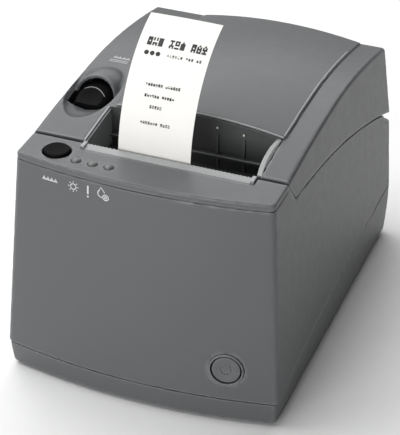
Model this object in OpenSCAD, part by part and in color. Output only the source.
// Thermal receipt printer: clamshell body, bowed front, lift-up cover hinged at the back.
// Origin: middle of the bounding box on the surface it stands on. +X right, +Y to the back, +Z up.

/* [Body] */
// Width across the widest part of the housing
body_w = 148; // [147:0.5:150]
// Depth from the middle of the bowed front to the back
body_d = 208; // [208:0.5:212]
// Height of the deck in front of the cover
deck_h = 128; // [128:0.5:130]
// How far each side leans in between the tray seam and the deck
side_taper = 7; // [6.6:0.1:7.2]
// Backward lean of the front wall in degrees
front_lean = 4; // [3.8:0.1:4.2]
// How far the middle of the front stands out beyond its corners
front_bow = 8.5; // [8:0.1:9]
// Wall thickness of the casings
wall = 2.5; // [2.3:0.1:2.6]
// Height of the rubber feet
foot_h = 1.5; // [1.2:0.1:2]

/* [Paper path] */
// Width of the paper exit
slot_w = 90; // [89:0.5:90.5]
// Sideways place of the middle of the paper exit
slot_x = 6; // [5:0.5:6.5]
// Width of the paper that is loaded
paper_w = 38; // [34:1:40]
// Sideways place of the middle of the paper
paper_x = -2.5; // [-3:0.5:0]
// Diameter of the paper roll
roll_d = 76; // [60:1:78]
// Diameter of the rubber platen
platen_d = 13; // [12.8:0.1:13]

/* [Controls] */
// Diameter of the feed button
feed_d = 13.6; // [13:0.1:14]
// Diameter of the power button
power_d = 14.6; // [14:0.1:14.8]
// Diameter of each status lens
lens_d = 5; // [4:0.1:5.2]

/* [Hidden] */
$fn = 48;

// Front, back and the drum that bows the front
y_front = -body_d / 2;
y_back = body_d / 2;
half_w = body_w / 2;
drum_r = (pow(half_w, 2) + pow(front_bow, 2)) / (2 * front_bow);
tray_top_front = 15;
tray_top_back = 30;
seam_gap = 0.6;
tray_tuck = -9;
tray_lean = 5.5;

// Cover outline: front edge, V-shaped dip of the side seam, crest and back
cover_front = y_front + 35.2;
deck_back = cover_front - 0.5;
vee_y = y_front + 44.5;
vee_z = deck_h - 13;
crest_y = 12;
crest_z = deck_h + 5;
crown_rise_front = 4.5;
crown_drop_back = 11.8;
cover_top_back = y_back - 9.5;
cover_back = y_back - 0.2;
panel_step = 1;
panel_crown = 4.5;
panel_x0 = -37;
panel_x1 = 54;

// Hinge of the cover
hinge_y = y_back - 5.5;
hinge_z = 77.5;
hinge_clear_r = 5.8;
pin_r = 2;
bore_r = pin_r + 0.05;

// Paper exit pocket in the cover
pocket_x0 = slot_x - slot_w / 2;
pocket_x1 = slot_x + slot_w / 2;
pocket_back = y_front + 67;
pocket_floor = deck_h - 19;
liner_t = 1.5;
liner_rim = 0.3;
liner_gap = 0.7;

// Platen, print line and the paper in front of it
platen_y = y_front + 43.2;
platen_z = deck_h - 28;
platen_r = platen_d / 2;
web_t = 0.2;
web_y = platen_y - platen_r - 0.3;
head_face_y = platen_y - platen_r - 0.7;
floor_front = web_y + 5.5;
shaft_r = 2;
paper_x0 = paper_x - paper_w / 2;
paper_x1 = paper_x + paper_w / 2;
mech_half = slot_w / 2 + 5;
plate_t = 1.5;
plate_x0 = slot_x - mech_half;
plate_x1 = slot_x + mech_half;
head_x0 = slot_x - 44;
head_x1 = slot_x + 44;
head_rod = [head_face_y - 8, platen_z - 14];

// Gear module and tooth counts
gear_m = 0.8;
platen_teeth = 24;
idler_teeth = 28;
pinion_teeth = 14;
cutter_teeth = 12;

// Feed gear train: the cover lifts the platen gear out along this line of centres
lift_dir = [hinge_z - platen_z, platen_y - hinge_y];
lift_angle = atan2(-lift_dir[1], -lift_dir[0]);
tooth_play = 0.12;
centre_play = 0.05;
function centre_gap(a, b) = gear_m * (a + b) / 2 + centre_play;
function toward(angle) = [cos(angle), sin(angle)];
idler_at = [platen_y, platen_z] - centre_gap(platen_teeth, idler_teeth) * toward(lift_angle);
idler_steps = 11;
pinion_angle = lift_angle - idler_steps * 360 / idler_teeth;
motor_at = idler_at + centre_gap(idler_teeth, pinion_teeth) * toward(pinion_angle);
gear_x0 = plate_x1 + plate_t + 1;
gear_w = 4;
motor_r = 17.5;
motor_len = 21;

// Paper roll in its bin
bin_y = 18;
bin_z = 67;
bin_r = 41;
bin_t = 2;
roll_r = roll_d / 2;
roll_z = bin_z - bin_r + roll_r + 0.3;
core_r = 8.5;
guide_corner_r = 3;
guide_corner = [web_y + guide_corner_r, platen_z - 10];

// Cutter
blade_z = pocket_floor + 1.1;
blade_t = 0.8;
blade_tip_y = web_y - 2;
cutter_r = gear_m * cutter_teeth / 2;
cutter_at = [-52.85, y_front + 26];
rack_x = cutter_at[0] + cutter_r + centre_play;
rack_h = 3;

// Cover latch
latch_y = y_front + 73;
latch_z = deck_h - 16;
keeper_at = [latch_y + 2.5, latch_z - 20];
hook_t = 3;
hook_x0 = plate_x0 - plate_t - 5;
hook_x1 = plate_x1 + plate_t + 1.5;

// Platen carrier under the cover
carrier_t = 1.8;
carrier_x0 = pocket_x0 - liner_t - carrier_t - 0.2;
carrier_x1 = pocket_x1 + liner_t + 0.2;
carrier_back = latch_y + 5;
bearing_r = 4;

// Lever recess in the left shoulder
lever_x = -53;
scoop_y = -25.5;
scoop_half = [12.3, 27, 5.6];
scoop_z = deck_h + 5;
opening_y = -26.5;
opening_half = [10.9, 21.5];
tab_front = y_front + 68.5;
tab_back = tab_front + 22;
tab_half = [10, 24, 6.6];
tab_travel = 5.5;
hood_y = -16.4;
hood_half = [12.6, 16.6, 9.5];
mouth_y = -32;
mouth_r = 13;

// Controls on the deck and the front
feed_at = [-48.7, y_front + 22.9];
feed_travel = 1.2;
lens_x = [-36.2, -27.5, -18.9];
lens_y = y_front + 18;
power_at = [47.9, 33.3];
panel_z = deck_h - 11;

// Boards and rear interface
board_x0 = -38;
board_x1 = 50;
board_y0 = -20;
board_y1 = y_back - 11;
board_z = 10;
board_t = 1.6;
plate_y = y_back - 10;
port_z = board_z + board_t;

// Receipt: upright between the tear bar and the pocket, then curling back
receipt_y = y_front + 35.4;
receipt_bottom = pocket_floor + 2.4;
curl_z = deck_h - 5;
curl_r = 62;
curl_end = 107;
paper_t = 0.2;

// ---------- shared shapes ----------

function side_x(z) = half_w - side_taper * (z - 18) / 110;
function shoulder_z(y) = y < crest_y
  ? crest_z - crown_rise_front * pow((crest_y - y) / (crest_y - cover_front), 2)
  : crest_z - crown_drop_back * pow((y - crest_y) / (cover_top_back - crest_y), 1.7);
function seam_z(y) = vee_z - 0.07 * (y - vee_y) - 0.00102 * pow(y - vee_y, 2);
function tray_z(y) =
  tray_top_front + (tray_top_back - tray_top_front) * (1 - pow((y_back - y) / (body_d - 9), 2));
function front_y(x, z) = y_front + pow(x, 2) / (2 * drum_r) + (z - tray_top_front) * tan(front_lean);
function arc(c, r, a0, a1, n) = [for (i = [0:n]) c + r * toward(a0 + (a1 - a0) * i / n)];
function spread(a, b, n) = [for (i = [0:n]) a + (b - a) * i / n];
function reversed(list) = [for (i = [len(list) - 1:-1:0]) list[i]];
function unit(v) = v / norm(v);
function tangent(path, i) = unit(path[min(i + 1, len(path) - 1)] - path[max(i - 1, 0)]);
function shifted(path, d) =
  [for (i = [0:len(path) - 1]) let (t = tangent(path, i)) path[i] + d * [-t[1], t[0]]];
function ribbon(path, t) = concat(shifted(path, t / 2), reversed(shifted(path, -t / 2)));

// Outline in the YZ plane, extruded along X
module side_prism(outline, x0, x1) {
  translate([x0, 0, 0]) rotate([90, 0, 90]) linear_extrude(x1 - x0) polygon(outline);
}

// Outline in the XZ plane, extruded along Y
module front_prism(outline, y0, y1) {
  translate([0, y1, 0]) rotate([90, 0, 0]) linear_extrude(y1 - y0) polygon(outline);
}

module box(lo, hi) {
  translate(lo) cube(hi - lo);
}

// Cylinder along X through a point of the YZ plane
module x_rod(at, r, x0, x1) {
  translate([x0, at[0], at[1]]) rotate([0, 90, 0]) cylinder(r = r, h = x1 - x0);
}

module z_rod(at, r, z0, z1) {
  translate([at[0], at[1], z0]) cylinder(r = r, h = z1 - z0);
}

// Large drum whose surface is the bowed, leaning front
module front_drum(inset, lean) {
  translate([0, y_front, tray_top_front]) rotate([-lean, 0, 0])
    translate([0, drum_r, -60]) cylinder(r = drum_r - inset, h = 260, $fn = 240);
}

// Everything between the leaning sides and behind the front
module body_envelope(inset) {
  top = 150;
  intersection() {
    front_prism([
      [inset - side_x(0), 0], [side_x(0) - inset, 0],
      [side_x(top) - inset, top], [inset - side_x(top), top]
    ], y_front - 5, y_back + 5);
    front_drum(inset, front_lean);
  }
}

// Local frame on the front wall, its Z pointing straight out of the wall
module on_front(at) {
  turn = asin(at[0] / drum_r);
  translate([at[0], front_y(at[0], at[1]), at[1]]) rotate([90 - front_lean, 0, turn]) children();
}

// Involute spur gear profile with its first tooth on the X axis
function involute_angle(a) = tan(a) * 180 / PI - a;
function flank_angle(teeth, r) =
  let (rp = gear_m * teeth / 2, rb = rp * cos(20), half = 90 / teeth - tooth_play / rp * 90 / PI)
  half + involute_angle(20) - (r > rb ? involute_angle(acos(rb / r)) : 0);
function gear_outline(teeth) =
  let (rp = gear_m * teeth / 2, rf = rp - 1.25 * gear_m, n = 4,
       rs = [for (i = [0:n]) rf + 2.25 * gear_m * i / n])
  [for (k = [0:teeth - 1]) let (c = 360 * k / teeth)
    for (side = [-1, 1]) for (i = [0:n])
      let (r = rs[side < 0 ? i : n - i], a = c + side * flank_angle(teeth, r)) r * [cos(a), sin(a)]];

// Gear that turns about X, with its first tooth at an angle in the YZ plane
module x_gear(at, teeth, turn, x0, x1) {
  translate([x0, at[0], at[1]]) rotate([90, 0, 90]) rotate(turn) linear_extrude(x1 - x0)
    polygon(gear_outline(teeth));
}

// Round wire wound about X
module coil(at, r, wire_r, x0, x1, turns) {
  steps = 20;
  sides = 6;
  n = turns * steps;
  points = [for (i = [0:n]) for (k = [0:sides - 1])
    let (a = 360 * i / steps, rr = r + wire_r * cos(360 * k / sides))
    [x0 + (x1 - x0) * i / n + wire_r * sin(360 * k / sides), at[0] + rr * cos(a), at[1] + rr * sin(a)]];
  faces = concat(
    [[for (k = [sides - 1:-1:0]) k]],
    [for (i = [0:n - 1]) for (k = [0:sides - 1]) let (m = (k + 1) % sides)
      [i * sides + m, (i + 1) * sides + m, (i + 1) * sides + k, i * sides + k]],
    [[for (k = [0:sides - 1]) n * sides + k]]);
  polyhedron(points, faces);
}

// Stretched ball
module egg(at, half) {
  translate(at) scale(half) sphere(1, $fn = 32);
}

// ---------- casings ----------

tray_profile = concat(
  [for (y = spread(y_front - 5, y_back, 8)) [y, tray_z(max(y, y_front + 9))]],
  [[y_back - tray_lean, foot_h], [y_front - 5, foot_h]]);
tray_hollow = [
  [y_front - 5, foot_h + wall], [y_back - tray_lean - wall, foot_h + wall],
  [y_back - wall, tray_top_back], [y_back - wall, 60], [y_front - 5, 60]
];

module tray_solid(inset, outline) {
  intersection() {
    front_prism([
      [inset - half_w + 1.4, foot_h - 1], [half_w - 1.4 - inset, foot_h - 1],
      [half_w - 0.1 - inset, tray_top_front], [side_x(60) - inset, 60],
      [inset - side_x(60), 60], [inset - half_w + 0.1, tray_top_front]
    ], y_front - 5, y_back + 5);
    front_drum(inset, tray_tuck);
    side_prism(outline, -half_w, half_w);
  }
}

module port_bay() {
  box([board_x0 - 4, y_back - 12, board_z - 2], [board_x1 + 4, y_back + 5, board_z + 42]);
}

foot_spots = [for (x = [-63.5, 63.5]) for (y = [y_front + 26, y_back - 24]) [x, y]];

module base_tray() {
  color([0.40, 0.41, 0.42]) difference() {
    union() {
      difference() {
        tray_solid(0, tray_profile);
        tray_solid(wall, tray_hollow);
      }
      for (at = foot_spots) z_rod(at, 5, foot_h + 0.5, foot_h + 10);
    }
    for (at = foot_spots) z_rod(at, 1.6, -1, 40);
    for (at = foot_spots) z_rod(at, 6.2, -1, foot_h + 1);
    port_bay();
  }
}

module rubber_feet() {
  color([0.08, 0.08, 0.08])
    for (at = foot_spots) difference() {
      z_rod(at, 6, 0, foot_h + 1);
      z_rod(at, 3.4, -1, foot_h + 0.2);
    }
}

module base_screws() {
  color([0.7, 0.7, 0.72])
    for (at = foot_spots) {
      z_rod(at, 1.5, foot_h + 1.2, foot_h + 9);
      z_rod(at, 2.8, foot_h - 1, foot_h + 0.1);
    }
}

rear_top = hinge_z - hinge_clear_r;
housing_profile = concat(
  [for (y = spread(y_front - 5, y_back, 8)) [y, tray_z(max(y, y_front + 9)) + seam_gap]],
  [[y_back, rear_top]],
  arc([hinge_y, hinge_z], hinge_clear_r, 270, 185, 5),
  [for (y = spread(y_back - 13.5, vee_y, 10)) [y, seam_z(y) - seam_gap]],
  [[deck_back, deck_h], [y_front - 5, deck_h]]);

module feed_hole(r) {
  z_rod(feed_at, r, deck_h - 10, deck_h + 5);
}

module main_housing() {
  color([0.41, 0.42, 0.43]) difference() {
    union() {
      difference() {
        intersection() {
          body_envelope(0);
          side_prism(housing_profile, -half_w, half_w);
        }
        intersection() {
          body_envelope(wall);
          union() {
            box([-half_w, y_front, -5], [half_w, y_back - wall, deck_h - wall]);
            box([-half_w, deck_back, 0], [half_w, y_back - wall, 160]);
          }
        }
      }
      for (x = [-33, -15]) z_rod([x, y_front + 25], 2, panel_z + board_t, deck_h - 1);
      on_front(power_at) for (x = [-13, 13]) translate([x, 0, -14.5]) cylinder(r = 2, h = 13);
    }
    feed_hole(feed_d / 2 + 0.4);
    for (x = lens_x) z_rod([x, lens_y], lens_d / 2 + 0.05, deck_h - 10, deck_h + 5);
    on_front(power_at) translate([0, 0, -10]) cylinder(r = power_d / 2 + 1.75, h = 15);
    box([pocket_x0 - 1, deck_back - 7, deck_h - 1.5], [pocket_x1 + 2.5, deck_back + 5, deck_h + 1]);
    port_bay();
  }
}

module tear_bar() {
  tooth = 2;
  teeth = 44;
  x0 = slot_x - teeth * tooth / 2;
  back = deck_back;
  z0 = deck_h - 1.4;
  color([0.62, 0.63, 0.64]) {
    translate([0, 0, z0]) linear_extrude(1.6) polygon(concat(
      [[x0, back - 6.8], [x0 + teeth * tooth, back - 6.8]],
      [for (i = [teeth:-1:0]) for (p = i > 0 ? [0, 0.5] : [0])
        [x0 + tooth * (i - p), back - (p > 0 ? 1 : 0.1)]]));
    for (x = [x0 - 1, x0 + teeth * tooth - 0.8])
      box([x, back - 6.8, z0], [x + 1.8, back - 0.1, deck_h + 1.2]);
  }
}

module status_lenses() {
  r = lens_d / 2;
  depth = 5;
  dome = [for (a = [0:15:90]) [r * cos(a), depth + r * sin(a) / 2]];
  color([0.55, 0.56, 0.57])
    for (x = lens_x) translate([x, lens_y, deck_h - depth]) rotate_extrude()
      polygon(concat([[0, 0], [r, 0]], dome));
}

// ---------- boards, buttons and ports ----------

module panel_board() {
  color([0.1, 0.35, 0.2]) {
    box([-58, y_front + 15.5, panel_z], [-12, y_front + 28, panel_z + board_t]);
    for (x = lens_x) translate([x - 1.5, lens_y - 1.5, panel_z + board_t]) cube([3, 3, 2]);
  }
}

module feed_switch() {
  z = panel_z + board_t;
  color([0.15, 0.15, 0.16]) {
    box([feed_at[0] - 3, feed_at[1] - 3, z], [feed_at[0] + 3, feed_at[1] + 3, z + 3]);
    z_rod(feed_at, 1.6, z + 3, z + 3.7);
  }
}

module feed_button() {
  top = deck_h + 1.3;
  r = feed_d / 2;
  color([0.06, 0.06, 0.06]) {
    difference() {
      z_rod(feed_at, r, deck_h - 4, top);
      translate([feed_at[0], feed_at[1], top + 29.4]) sphere(r = 30, $fn = 96);
    }
    z_rod(feed_at, r + 1.6, deck_h - 4.2, deck_h - 3);
    z_rod(feed_at, 2, deck_h - 4.2, deck_h - 4);
  }
}

module power_bezel() {
  color([0.36, 0.37, 0.38]) on_front(power_at) difference() {
    union() {
      translate([0, 0, -3.5]) cylinder(r = power_d / 2 + 1.7, h = 4.4);
      translate([0, 0, -3.9]) cylinder(r = power_d / 2 + 3, h = 1.2);
    }
    translate([0, 0, -5]) cylinder(r = power_d / 2 + 0.3, h = 8);
  }
}

module power_button() {
  color([0.36, 0.37, 0.38]) on_front(power_at) {
    translate([0, 0, -6.5]) cylinder(r = power_d / 2, h = 7.1);
    translate([0, 0, -7.5]) cylinder(r = power_d / 2 + 1.5, h = 1);
    translate([0, 0, -9]) cylinder(r = 2.5, h = 2);
  }
}

module power_switch() {
  on_front(power_at) {
    color([0.1, 0.35, 0.2]) translate([-17, -7, -16.1]) cube([34, 14, board_t]);
    color([0.15, 0.15, 0.16]) translate([-3.5, -3.5, -14.5]) cube([7, 7, 3]);
    color([0.15, 0.15, 0.16]) translate([0, 0, -11.5]) cylinder(r = 1.8, h = 0.8);
  }
}

module main_board() {
  color([0.1, 0.35, 0.2]) difference() {
    box([board_x0, board_y0, board_z], [board_x1, board_y1, board_z + board_t]);
    for (x = [board_x0 + 4, board_x1 - 4]) for (y = [board_y0 + 4, board_y1 - 20])
      z_rod([x, y], 1.6, 0, 30);
  }
}

module board_components() {
  z = port_z;
  color([0.12, 0.12, 0.13]) {
    box([-6, 8, z], [12, 26, z + 2]);
    box([20, 34, z], [32, 42, z + 1.8]);
    box([-28, 30, z], [-18, 44, z + 6]);
  }
  color([0.2, 0.22, 0.4]) for (y = [52, 64]) for (x = [-30, -18]) z_rod([x, y], 4, z, z + 14);
  color([0.9, 0.88, 0.8]) box([11, board_y0, z], [31, board_y0 + 5, z + 4]);
}

module head_cable() {
  path = concat(
    [[head_rod[0] + 1, platen_z - 19]],
    arc([head_rod[0] + 21, 33.3], 20, 180, 270, 8),
    [[board_y0 - 0.1, 13.3]]);
  color([0.85, 0.85, 0.83]) side_prism(ribbon(path, 0.4), 12, 30);
}

module interface_plate() {
  color([0.72, 0.73, 0.74]) difference() {
    box([board_x0 - 6, plate_y, board_z - 4], [board_x1 + 6, plate_y + 1.2, board_z + 44]);
    for (port = ports) box(
      [port[0] - port[1] / 2 - 0.2, plate_y - 1, port[2] - 0.2],
      [port[0] + port[1] / 2 + 0.2, plate_y + 3, port[2] + port[3] + 0.2]);
  }
}

// Each port: middle in X, width, foot in Z, height
ports = [
  [-27, 16, port_z, 14], [-8, 12.2, port_z, 11], [11, 16, port_z, 13.6],
  [31, 13.6, port_z, 12.6], [6, 31, port_z + 22, 12.6]
];
port_depth = 12;

// Port shell with its socket cut in from the back
module port(i, socket_w, socket_h, socket_depth) {
  p = ports[i];
  z = p[2] + p[3] / 2;
  y1 = plate_y + 3;
  difference() {
    box([p[0] - p[1] / 2, y1 - port_depth, p[2]], [p[0] + p[1] / 2, y1, p[2] + p[3]]);
    translate([p[0] - socket_w / 2, y1 - socket_depth, z - socket_h / 2])
      cube([socket_w, socket_depth + 1, socket_h]);
  }
}

module power_inlet() {
  p = ports[0];
  y1 = plate_y + 3;
  z = p[2] + p[3] / 2;
  color([0.1, 0.1, 0.1]) difference() {
    box([p[0] - p[1] / 2, y1 - port_depth, p[2]], [p[0] + p[1] / 2, y1, p[2] + p[3]]);
    translate([p[0], y1 + 1, z]) rotate([90, 0, 0]) cylinder(r = 5.6, h = 9);
  }
}

module usb_port() {
  color([0.8, 0.8, 0.82]) port(1, 8.4, 7.6, 9);
}

module network_port() {
  color([0.75, 0.75, 0.77]) port(2, 11.8, 8.6, 10);
}

module drawer_port() {
  color([0.15, 0.15, 0.16]) port(3, 9.7, 6.8, 10);
}

module serial_port() {
  color([0.78, 0.78, 0.8]) port(4, 17.4, 8.6, 6);
}

// ---------- mechanism ----------

plate_top = pocket_floor - 1.8;
side_plate_profile = [
  [y_front + 29, foot_h + wall], [keeper_at[0] + 5, foot_h + wall],
  [keeper_at[0] + 5, keeper_at[1] + 4], [keeper_at[0] - 3, platen_z + 4],
  [platen_y + 8, plate_top], [y_front + 20, plate_top], [y_front + 20, 72], [y_front + 29, 62]
];

module side_plate(x0, shaft_hole) {
  difference() {
    side_prism(side_plate_profile, x0, x0 + plate_t);
    side_prism([
      [platen_y - 4.5, platen_z - 5], [platen_y + 4.5, platen_z - 5],
      [platen_y + 7, platen_z + 20], [platen_y - 4.5, platen_z + 20]
    ], x0 - 1, x0 + plate_t + 1);
    if (shaft_hole) x_rod(motor_at, 5, x0 - 1, x0 + plate_t + 1);
    box([x0 - 1, y_front + 44, 20], [x0 + plate_t + 1, y_front + 62, 38]);
  }
}

module left_side_plate() {
  color([0.74, 0.75, 0.76]) side_plate(plate_x0 - plate_t, false);
}

module right_side_plate() {
  color([0.74, 0.75, 0.76]) side_plate(plate_x1, true);
}

module cross_bar() {
  color([0.7, 0.71, 0.72])
    box([plate_x0, y_front + 20, head_rod[1] - 3], [plate_x1, y_front + 22, head_rod[1] + 17]);
}

module keeper_pins() {
  color([0.8, 0.8, 0.82]) {
    x_rod(keeper_at, pin_r, plate_x0 - plate_t - 6, plate_x0 - plate_t);
    x_rod(keeper_at, pin_r, plate_x1 + plate_t, plate_x1 + plate_t + 5.5);
  }
}

module idler_axle() {
  color([0.8, 0.8, 0.82]) x_rod(idler_at, pin_r, plate_x1 + plate_t, gear_x0 + gear_w + 0.8);
}

// Straight run of the paper from the roll's top to the guide corner
web_span = guide_corner - [bin_y, roll_z];
web_turn = atan2(web_span[1], web_span[0]) - acos((roll_r + 0.3 + guide_corner_r) / norm(web_span));
web_from = [bin_y, roll_z] + (roll_r + 0.3) * toward(web_turn);
web_to = guide_corner - guide_corner_r * toward(web_turn);

module paper_web() {
  path = concat(
    [web_from, (web_from + web_to) / 2],
    arc(guide_corner, guide_corner_r, web_turn + 180, 180, 8),
    [[web_y, platen_z], [web_y, blade_z - 0.6]]);
  color([0.95, 0.95, 0.93]) side_prism(ribbon(path, web_t), paper_x0, paper_x1);
}

module lower_paper_guide() {
  along = unit(web_from - web_to);
  below = 2.4 * [along[1], -along[0]];
  path = [web_to + 3 * along + below, web_to + 38 * along + below];
  color([0.3, 0.31, 0.32]) side_prism(ribbon(path, 1.2), plate_x0, plate_x1);
}

module paper_sensor() {
  along = unit(web_from - web_to);
  at = web_to + 16 * along + 3.1 * [along[1], -along[0]];
  color([0.08, 0.08, 0.08]) side_prism(
    [at, at + 8 * along, at + 8 * along + 5 * [along[1], -along[0]], at + 5 * [along[1], -along[0]]],
    paper_x - 4, paper_x + 4);
}

module print_head() {
  color([0.85, 0.83, 0.78])
    box([head_x0, head_face_y - 1, platen_z - 12], [head_x1, head_face_y, platen_z + 7]);
}

module head_heatsink() {
  back = head_face_y - 4.5;
  color([0.6, 0.61, 0.63]) {
    box([head_x0, back, platen_z - 17], [head_x1, head_face_y - 1, platen_z + 6.8]);
    for (x = [head_x0 + 8, slot_x - 2, head_x1 - 12]) difference() {
      union() {
        x_rod(head_rod, 3.5, x, x + 4);
        box([x, head_rod[0], head_rod[1] - 3], [x + 4, back + 1, head_rod[1] + 3.5]);
      }
      x_rod(head_rod, 1.55, x - 1, x + 5);
    }
  }
}

module head_pivot_rod() {
  color([0.8, 0.8, 0.82]) x_rod(head_rod, 1.5, plate_x0, plate_x1);
}

module head_springs() {
  color([0.7, 0.7, 0.72])
    for (x = [slot_x - 24, slot_x + 20]) coil(head_rod, 2.4, 0.35, x, x + 6, 5);
}

module stepper_motor() {
  color([0.2, 0.2, 0.21]) difference() {
    union() {
      x_rod(motor_at, motor_r, plate_x1 - motor_len, plate_x1);
      x_rod(motor_at, 4.8, plate_x1, plate_x1 + 1.2);
    }
    x_rod(motor_at, 1.55, plate_x1 - 8, plate_x1 + 5);
  }
}

module motor_pinion() {
  color([0.85, 0.72, 0.4]) {
    x_gear(motor_at, pinion_teeth, pinion_angle + 180 + 180 / pinion_teeth, gear_x0, gear_x0 + gear_w);
    x_rod(motor_at, 1.5, plate_x1 - 7, gear_x0 + gear_w + 0.5);
  }
}

module idler_gear() {
  color([0.92, 0.9, 0.84]) difference() {
    x_gear(idler_at, idler_teeth, lift_angle, gear_x0, gear_x0 + gear_w);
    x_rod(idler_at, bore_r, gear_x0 - 1, gear_x0 + gear_w + 1);
  }
}

module cutter_frame() {
  z1 = blade_z - 0.3;
  color([0.66, 0.67, 0.68]) difference() {
    box([cutter_at[0] - 7.5, y_front + 17, z1 - 2.2], [plate_x1 + plate_t, y_front + 32.5, z1]);
    z_rod(cutter_at, 2.2, z1 - 5, z1 + 5);
  }
}

module cutter_motor() {
  z1 = blade_z - 2.6;
  color([0.72, 0.73, 0.74]) difference() {
    z_rod(cutter_at, 6.9, z1 - 22, z1);
    z_rod(cutter_at, 1.05, z1 - 5, z1 + 1);
  }
}

module cutter_pinion() {
  z0 = blade_z + 0.2;
  color([0.92, 0.9, 0.84]) {
    translate([cutter_at[0], cutter_at[1], z0]) linear_extrude(rack_h - 0.2)
      polygon(gear_outline(cutter_teeth));
    z_rod(cutter_at, 1, blade_z - 7, z0 + rack_h);
  }
}

module moving_blade() {
  pitch = PI * gear_m;
  half = pitch / 4 - tooth_play / 4;
  tip = gear_m * tan(20);
  root = 1.25 * gear_m * tan(20);
  y0 = cutter_at[1];
  teeth = [for (k = [-4:1]) y0 + pitch * (k + 0.5)];
  back = rack_x + 3;
  color([0.78, 0.79, 0.8]) {
    box([head_x0, blade_tip_y - 13.5, blade_z], [head_x1, blade_tip_y, blade_z + blade_t]);
    box([back - 1, blade_tip_y - 13.5, blade_z], [head_x0 + 1, blade_tip_y - 6, blade_z + blade_t]);
    translate([0, 0, blade_z]) linear_extrude(rack_h) polygon(concat(
      [[back, y0 + 4.5], [back, y0 - 10], [rack_x + 1.25 * gear_m, y0 - 10]],
      [for (y = teeth) for (p = [
        [rack_x + 1.25 * gear_m, y - half - root], [rack_x - gear_m, y - half + tip],
        [rack_x - gear_m, y + half - tip], [rack_x + 1.25 * gear_m, y + half + root]]) p],
      [[rack_x + 1.25 * gear_m, y0 + 4.5]]));
  }
}

// ---------- paper store ----------

module paper_bin() {
  x0 = plate_x0 + 0.5;
  x1 = plate_x1 - 0.5;
  outer_r = bin_r + bin_t;
  c = [bin_y, bin_z];
  back_top = 98;
  front_top = 88;
  color([0.2, 0.21, 0.22]) {
    side_prism(concat(
      [[bin_y - outer_r, front_top]], arc(c, outer_r, 180, 360, 24),
      [[bin_y + outer_r, back_top], [bin_y + bin_r, back_top]],
      arc(c, bin_r, 360, 180, 24), [[bin_y - bin_r, front_top]]), x0, x1);
    for (x = [x0, x1 - bin_t]) side_prism(concat(
      [[bin_y - outer_r, front_top]], arc(c, outer_r, 180, 235, 6),
      [[bin_y - 26, foot_h + wall], [bin_y + 26, foot_h + wall]],
      arc(c, outer_r, 305, 360, 6), [[bin_y + outer_r, back_top]]), x, x + bin_t);
  }
}

module paper_guides() {
  outline = concat(
    arc([bin_y, bin_z], bin_r, 170, 370, 24), [[bin_y + 12, bin_z + 12], [bin_y - 12, bin_z + 12]]);
  color([0.3, 0.31, 0.32]) {
    side_prism(outline, paper_x0 - 2.4, paper_x0 - 0.8);
    side_prism(outline, paper_x1 + 0.8, paper_x1 + 2.4);
  }
}

module near_end_sensor() {
  x = plate_x0 + 0.5;
  color([0.08, 0.08, 0.08]) box([x - 6, bin_y - 5, 40], [x, bin_y + 7, 50]);
}

module paper_roll() {
  color([0.96, 0.96, 0.94]) difference() {
    x_rod([bin_y, roll_z], roll_r, paper_x0, paper_x1);
    x_rod([bin_y, roll_z], core_r, paper_x0 - 1, paper_x1 + 1);
  }
}

module roll_core() {
  color([0.72, 0.6, 0.45]) difference() {
    x_rod([bin_y, roll_z], core_r, paper_x0, paper_x1);
    x_rod([bin_y, roll_z], core_r - 2, paper_x0 - 1, paper_x1 + 1);
  }
}

module cover_open_switch() {
  x = plate_x0 - plate_t;
  color([0.1, 0.1, 0.1]) {
    box([x - 6, platen_y - 7, platen_z - 17], [x, platen_y + 2, platen_z - 9]);
    box([x - 4, platen_y - 5, platen_z - 9], [x - 2, platen_y - 1, platen_z - 6]);
  }
}

module hinge_brackets() {
  color([0.3, 0.31, 0.32]) for (s = [-1, 1]) {
    x0 = s > 0 ? 50 : -53;
    box([x0, hinge_y - 5, hinge_z - 21], [x0 + 3, y_back - wall, hinge_z - 4]);
    side_prism([
      [hinge_y - 5, hinge_z - 4], [y_back - wall, hinge_z - 4],
      [hinge_y + 3, hinge_z], [hinge_y - 3, hinge_z]
    ], x0, x0 + 3);
    x_rod([hinge_y, hinge_z], 3, x0, x0 + 3);
    x_rod([hinge_y, hinge_z], pin_r, s > 0 ? 50 : -60, s > 0 ? 60 : -50);
  }
}

// ---------- cover ----------

function crown(n, y0, y1, dz) = [for (y = spread(y0, y1, n)) [y, shoulder_z(y) + dz]];
cover_profile = concat(
  crown(20, cover_front, cover_top_back, 0),
  [for (y = spread(cover_back, vee_y, 10)) [y, seam_z(y)]],
  [[cover_front + 1, deck_h - 2]]);
cover_hollow = concat(
  crown(20, cover_front + wall, cover_top_back - wall, -wall),
  [[cover_back - wall, 76], [cover_back - wall, 60],
   [vee_y + wall + 1, 60], [vee_y + wall + 1, vee_z - 1]]);

// Crowned middle panel: a curved plate over the shoulder line
function panel_z_at(x, y) =
  let (u = (2 * x - panel_x0 - panel_x1) / (panel_x1 - panel_x0))
  shoulder_z(y) + panel_step + panel_crown * (1 - min(u * u, 1));

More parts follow.
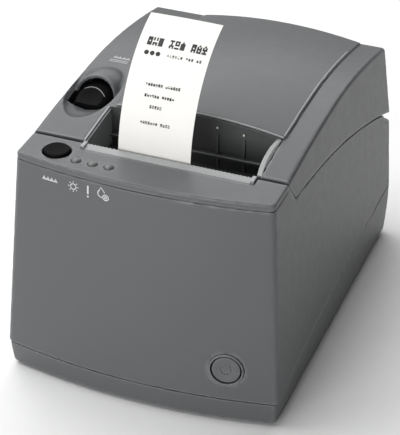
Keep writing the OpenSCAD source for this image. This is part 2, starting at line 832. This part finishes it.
module crowned_panel() {
  nx = 10;
  ny = 14;
  y0 = pocket_back + liner_t + 0.1;
  y1 = cover_top_back - 1;
  row = nx + 1;
  count = row * (ny + 1);
  points = [for (dz = [0, -wall]) for (y = spread(y0, y1, ny)) for (x = spread(panel_x0, panel_x1, nx))
    [x, y, panel_z_at(x, y) + dz]];
  top = [for (j = [0:ny - 1]) for (i = [0:nx - 1]) let (a = j * row + i) each
    [[a, a + row, a + row + 1], [a, a + row + 1, a + 1]]];
  bottom = [for (f = top) [f[2] + count, f[1] + count, f[0] + count]];
  function wall_faces(a, b) = [[a, b, b + count], [a, b + count, a + count]];
  sides = concat(
    [for (i = [0:nx - 1]) each wall_faces(i, i + 1)],
    [for (i = [0:nx - 1]) each wall_faces(ny * row + i + 1, ny * row + i)],
    [for (j = [0:ny - 1]) each wall_faces((j + 1) * row, j * row)],
    [for (j = [0:ny - 1]) each wall_faces(j * row + nx, (j + 1) * row + nx)]);
  polyhedron(points, concat(top, bottom, sides));
}

module hinge_lugs() {
  for (s = [-1, 1]) {
    x0 = s > 0 ? 54 : -59;
    difference() {
      union() {
        x_rod([hinge_y, hinge_z], 4.2, x0, x0 + 5);
        side_prism([
          [hinge_y - 4.2, hinge_z], [hinge_y + 3, hinge_z + 3], [hinge_y + 1.5, hinge_z + 13],
          [hinge_y - 1, hinge_z + 19], [hinge_y - 8, hinge_z + 19]
        ], x0, x0 + 5);
      }
      x_rod([hinge_y, hinge_z], bore_r, x0 - 1, x0 + 6);
    }
  }
}

// Upright oval column in the outline of the lever recess
module oval_column(y, inset) {
  translate([lever_x, y, deck_h - 30]) linear_extrude(60)
    scale(opening_half - [inset, inset]) circle(1, $fn = 48);
}

module lever_opening() {
  intersection() {
    oval_column(opening_y, 0);
    box([lever_x - 20, tab_front - 0.3, deck_h - 30], [lever_x + 20, 20, deck_h + 20]);
  }
}

module lever_hood() {
  at = [lever_x, hood_y, deck_h];
  difference() {
    egg(at, hood_half);
    egg(at, hood_half - [wall, wall, wall]);
    box(at - [30, 30, 30], at + [30, 30, 1.5]);
    z_rod([lever_x, mouth_y], mouth_r, deck_h - 5, deck_h + 20);
  }
}

module cover_shell() {
  difference() {
    intersection() {
      body_envelope(0);
      side_prism(cover_profile, -half_w, half_w);
    }
    intersection() {
      body_envelope(wall);
      side_prism(cover_hollow, -half_w, half_w);
    }
    box([panel_x0 + 2, pocket_back + 4, deck_h - 20], [panel_x1 - 2, cover_top_back - 4, deck_h + 20]);
    for (x0 = [-60.5, 49]) box([x0, hinge_y - 4, 60], [x0 + 11.5, y_back + 5, hinge_z + 5.5]);
  }
}

module top_cover() {
  color([0.45, 0.46, 0.47]) {
    difference() {
      union() {
        cover_shell();
        crowned_panel();
        box([lever_x - 12, scoop_y - 28, deck_h - 4], [lever_x + 11.5, tab_front - 0.3, deck_h + 1]);
        for (x = [-30, 42]) z_rod([x, latch_y + 2], 3.5, latch_z + 7, deck_h + 4);
      }
      intersection() {
        egg([lever_x, scoop_y, scoop_z], scoop_half);
        box([lever_x - 20, scoop_y - 40, deck_h - 10], [lever_x + 20, hood_y, deck_h + 20]);
      }
      lever_opening();
      box(
        [pocket_x0 - liner_t, cover_front - 5, 60],
        [pocket_x1 + liner_t, pocket_back + liner_t, deck_h + 20]);
    }
    lever_hood();
    hinge_lugs();
  }
}

// Pocket walls, floor ledge and back wall, which rises under the panel's crown
module pocket_liner() {
  x0 = pocket_x0 - liner_t + 0.1;
  x1 = pocket_x1 + liner_t - 0.1;
  y0 = cover_front + 0.2;
  y1 = pocket_back + liner_t - 0.1;
  z0 = pocket_floor - liner_t;
  rib_t = 1.2;
  rim = [for (x = spread(x1, x0, 12)) [x, panel_z_at(x, pocket_back) - liner_gap]];
  color([0.13, 0.14, 0.14]) {
    difference() {
      side_prism(concat(crown(8, y0, y1, liner_rim), [[y1, z0], [y0, z0]]), x0, x1);
      box([pocket_x0, y0 - 5, pocket_floor], [pocket_x1, pocket_back, deck_h + 20]);
      box([x0 - 1, y0 - 5, 60], [x1 + 1, floor_front, pocket_floor + 0.01]);
      box([pocket_x0, y0 - 5, 60], [pocket_x1, floor_front, pocket_floor + 5]);
    }
    front_prism(concat([[x0, crest_z - 4], [x1, crest_z - 4]], rim), pocket_back, y1);
    for (x = [-24, -6, 13, 27]) translate([slot_x + x - rib_t / 2, pocket_back - 0.8, pocket_floor])
      cube([rib_t, 0.9, deck_h - pocket_floor]);
    box([pocket_x0, pocket_back - 3, pocket_floor + 6.8], [pocket_x1, pocket_back, pocket_floor + 8]);
  }
}

module fixed_blade() {
  color([0.8, 0.81, 0.82])
    box([head_x0, web_y + 0.8, pocket_floor + 0.1], [head_x1, floor_front + 6, pocket_floor + 0.9]);
}

module platen_carrier() {
  z1 = latch_z + 6;
  outline = [
    [platen_y - 6, platen_z - 5], [platen_y + 5, platen_z - 7], [carrier_back, latch_z - 7],
    [carrier_back, z1], [pocket_back + liner_t + 1, z1], [platen_y - 3, platen_z + 13],
    [platen_y - 6, platen_z + 5]
  ];
  color([0.25, 0.26, 0.27]) {
    for (x = [carrier_x0, carrier_x1]) difference() {
      side_prism(outline, x, x + carrier_t);
      x_rod([platen_y, platen_z], bearing_r, x - 1, x + carrier_t + 1);
      x_rod([latch_y, latch_z], bore_r, x - 1, x + carrier_t + 1);
    }
    box(
      [carrier_x0, pocket_back + liner_t + 0.5, z1 - 1.5],
      [carrier_x1 + carrier_t, carrier_back, z1]);
    for (x = [-30, 42]) z_rod([x, latch_y + 2], 3, z1 - 0.5, latch_z + 7);
  }
}

module platen_bearings() {
  color([0.78, 0.66, 0.35])
    for (x = [carrier_x0, carrier_x1]) difference() {
      x_rod([platen_y, platen_z], bearing_r, x, x + carrier_t);
      x_rod([platen_y, platen_z], shaft_r + 0.05, x - 1, x + carrier_t + 1);
    }
}

module platen_roller() {
  color([0.1, 0.1, 0.1]) difference() {
    x_rod([platen_y, platen_z], platen_r, head_x0, head_x1);
    x_rod([platen_y, platen_z], shaft_r, head_x0 - 1, head_x1 + 1);
  }
}

module platen_shaft() {
  color([0.8, 0.8, 0.82])
    x_rod([platen_y, platen_z], shaft_r, plate_x0 - plate_t - 1, gear_x0 + gear_w + 0.5);
}

module platen_gear() {
  color([0.92, 0.9, 0.84]) difference() {
    x_gear(
      [platen_y, platen_z], platen_teeth, lift_angle + 180 + 180 / platen_teeth,
      gear_x0, gear_x0 + gear_w);
    x_rod([platen_y, platen_z], shaft_r, gear_x0 - 1, gear_x0 + gear_w + 1);
  }
}

// Thumb tab with an arm down to the latch shaft
module release_lever() {
  z0 = deck_h - 3;
  color([0.05, 0.05, 0.05]) {
    intersection() {
      box([lever_x - 20, tab_front, z0], [lever_x + 20, tab_back, z0 + 12]);
      oval_column(opening_y, 0.8);
      oval_column(opening_y - tab_travel, 0.8);
      egg([lever_x, tab_front + 16, z0 + 1], tab_half);
    }
    difference() {
      union() {
        box([lever_x - 2, latch_y - 1.8, latch_z + 1], [lever_x + 2, latch_y + 4, z0 + 1]);
        x_rod([latch_y, latch_z], 4, lever_x - 2, lever_x + 2);
      }
      x_rod([latch_y, latch_z], shaft_r, lever_x - 3, lever_x + 3);
    }
  }
}

module latch_shaft() {
  color([0.8, 0.8, 0.82])
    x_rod([latch_y, latch_z], shaft_r, lever_x - 2.5, hook_x1 + hook_t + 0.5);
}

module latch_hooks() {
  nose_top = keeper_at[1] - pin_r - 0.4;
  outline = [
    [latch_y + 3, latch_z - 2], [latch_y - 1, nose_top], [keeper_at[0] + 1.6, nose_top],
    [keeper_at[0] - 0.5, nose_top - 3.4], [latch_y - 5, nose_top - 3.4], [latch_y - 3, latch_z - 2]
  ];
  color([0.75, 0.76, 0.77])
    for (x = [hook_x0, hook_x1]) difference() {
      union() {
        side_prism(outline, x, x + hook_t);
        x_rod([latch_y, latch_z], 4.2, x, x + hook_t);
      }
      x_rod([latch_y, latch_z], shaft_r, x - 1, x + hook_t + 1);
    }
}

module latch_spring() {
  color([0.7, 0.7, 0.72]) coil([latch_y, latch_z], 2.8, 0.35, -34, -24, 7);
}

module receipt() {
  centre = [receipt_y + curl_r, curl_z];
  path = concat(
    [[receipt_y, receipt_bottom], [receipt_y, (receipt_bottom + curl_z) / 2]],
    arc(centre, curl_r, 180, curl_end, 24));
  color([0.97, 0.97, 0.96]) side_prism(ribbon(path, paper_t), paper_x0, paper_x1);
}

base_tray();
rubber_feet();
base_screws();
main_housing();
tear_bar();
status_lenses();
panel_board();
feed_switch();
feed_button();
power_bezel();
power_button();
power_switch();
main_board();
board_components();
head_cable();
interface_plate();
power_inlet();
usb_port();
network_port();
drawer_port();
serial_port();
left_side_plate();
right_side_plate();
cross_bar();
keeper_pins();
idler_axle();
lower_paper_guide();
paper_sensor();
print_head();
head_heatsink();
head_pivot_rod();
head_springs();
stepper_motor();
motor_pinion();
idler_gear();
cutter_frame();
moving_blade();
cutter_pinion();
cutter_motor();
paper_bin();
paper_guides();
near_end_sensor();
cover_open_switch();
hinge_brackets();
paper_roll();
roll_core();
paper_web();
top_cover();
pocket_liner();
fixed_blade();
platen_carrier();
platen_bearings();
platen_roller();
platen_shaft();
platen_gear();
release_lever();
latch_shaft();
latch_hooks();
latch_spring();
receipt();
